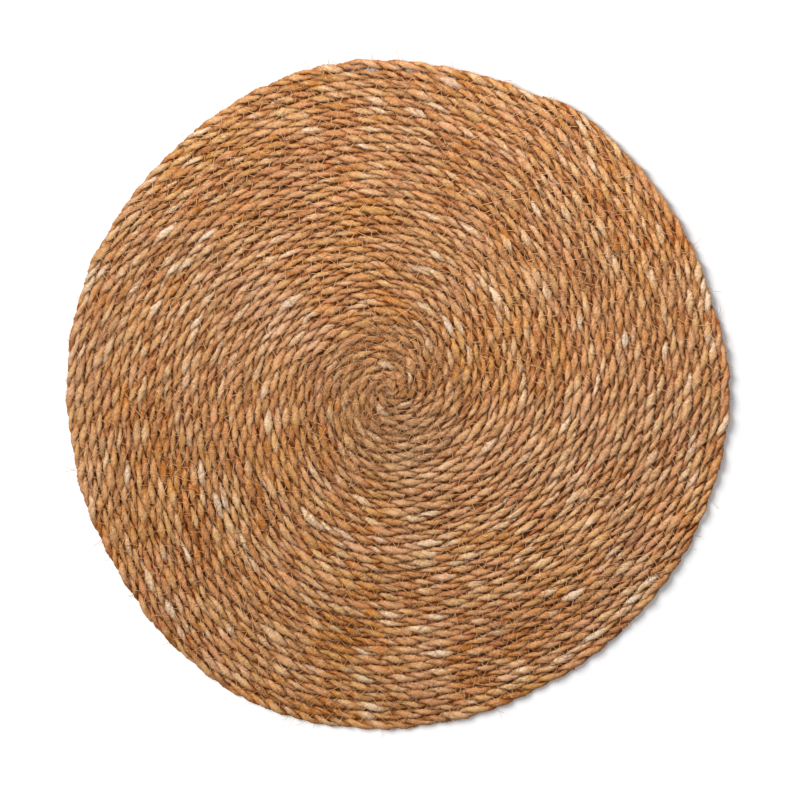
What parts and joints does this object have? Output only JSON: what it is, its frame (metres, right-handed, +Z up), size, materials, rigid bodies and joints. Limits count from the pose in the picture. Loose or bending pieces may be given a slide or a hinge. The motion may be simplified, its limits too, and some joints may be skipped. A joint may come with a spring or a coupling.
{
  "type": "round coiled jute placemat",
  "caption": "Flat round placemat made of one two-ply jute cord, coiled from the middle out and sewn turn to turn.",
  "frame": {"origin": "under the middle of the mat's outline, on the plane that its underside rests on", "axes": "+Z is up, through the mat's thickness; the coil runs outward counter-clockwise as seen from above, and the cord's outer end lies 60 degrees from +X towards +Y"},
  "size_m": [0.3792, 0.3824, 0.0055],
  "materials": {
    "jute": "matte natural jute"
  },
  "bodies": {
    "root": {"coiled_mat": "jute"}
  },
  "joints": []
}
